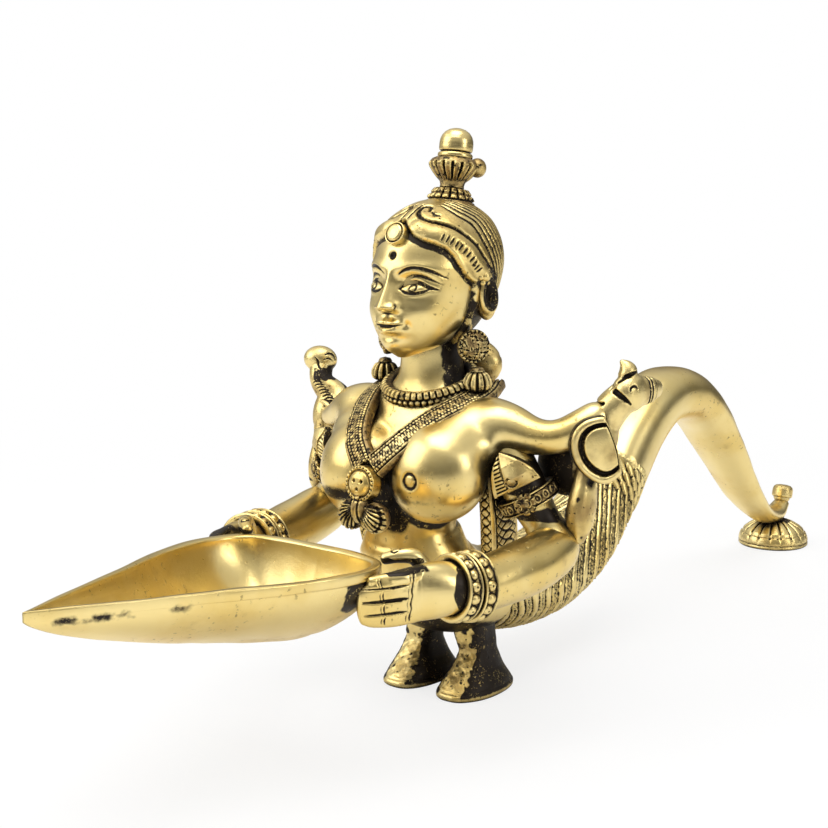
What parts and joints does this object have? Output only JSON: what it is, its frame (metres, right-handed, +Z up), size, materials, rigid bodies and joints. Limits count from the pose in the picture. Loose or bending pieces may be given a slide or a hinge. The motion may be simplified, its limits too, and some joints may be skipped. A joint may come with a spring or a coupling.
{
  "type": "figural oil lamp",
  "caption": "Cast brass oil lamp: a lady with a feathered serpent body and short hoofed legs holds out a leaf-shaped bowl; an arched tail ends on a domed foot.",
  "frame": {"origin": "under the middle of the lamp, on the plane that its hoofs and tail foot stand on", "axes": "+X to the lady's left, +Y from the bowl's tip to the tail, +Z up"},
  "size_m": [0.1092, 0.3494, 0.149],
  "materials": {
    "polished_brass": "hand-polished cast brass, warm yellow, dark patina left in its grooves",
    "engraved_brass": "cast and engraved brass, satin on its ridges, brown-black patina in its recesses"
  },
  "bodies": {
    "root": {"oil_bowl": "polished_brass", "torso": "polished_brass", "lower_body": "engraved_brass", "tail": "polished_brass", "tail_knob": "polished_brass", "tail_foot": "engraved_brass", "head": "polished_brass", "hair_cap": "engraved_brass", "parting_jewel": "polished_brass", "top_knot_collar": "engraved_brass", "top_knot_cup": "engraved_brass", "top_knot_bud": "polished_brass", "nape_bun": "polished_brass", "choker": "engraved_brass", "necklace": "engraved_brass", "medallion": "polished_brass", "pendant_lotus": "engraved_brass", "left_leg": "polished_brass", "right_leg": "polished_brass", "left_ear": "polished_brass", "right_ear": "polished_brass", "left_ear_stud": "engraved_brass", "right_ear_stud": "engraved_brass", "left_ear_bell": "engraved_brass", "right_ear_bell": "engraved_brass", "left_arm": "polished_brass", "right_arm": "polished_brass", "left_bangle_1": "engraved_brass", "right_bangle_1": "engraved_brass", "left_bangle_2": "engraved_brass", "right_bangle_2": "engraved_brass", "left_armlet": "engraved_brass", "right_armlet": "engraved_brass", "left_armlet_crest": "engraved_brass", "right_armlet_crest": "engraved_brass", "left_hand": "polished_brass", "right_hand": "polished_brass", "left_bracket": "polished_brass", "right_bracket": "polished_brass", "left_bird": "engraved_brass", "right_bird": "engraved_brass", "left_wing": "engraved_brass", "right_wing": "engraved_brass", "left_sash": "engraved_brass", "right_sash": "engraved_brass"}
  },
  "joints": []
}
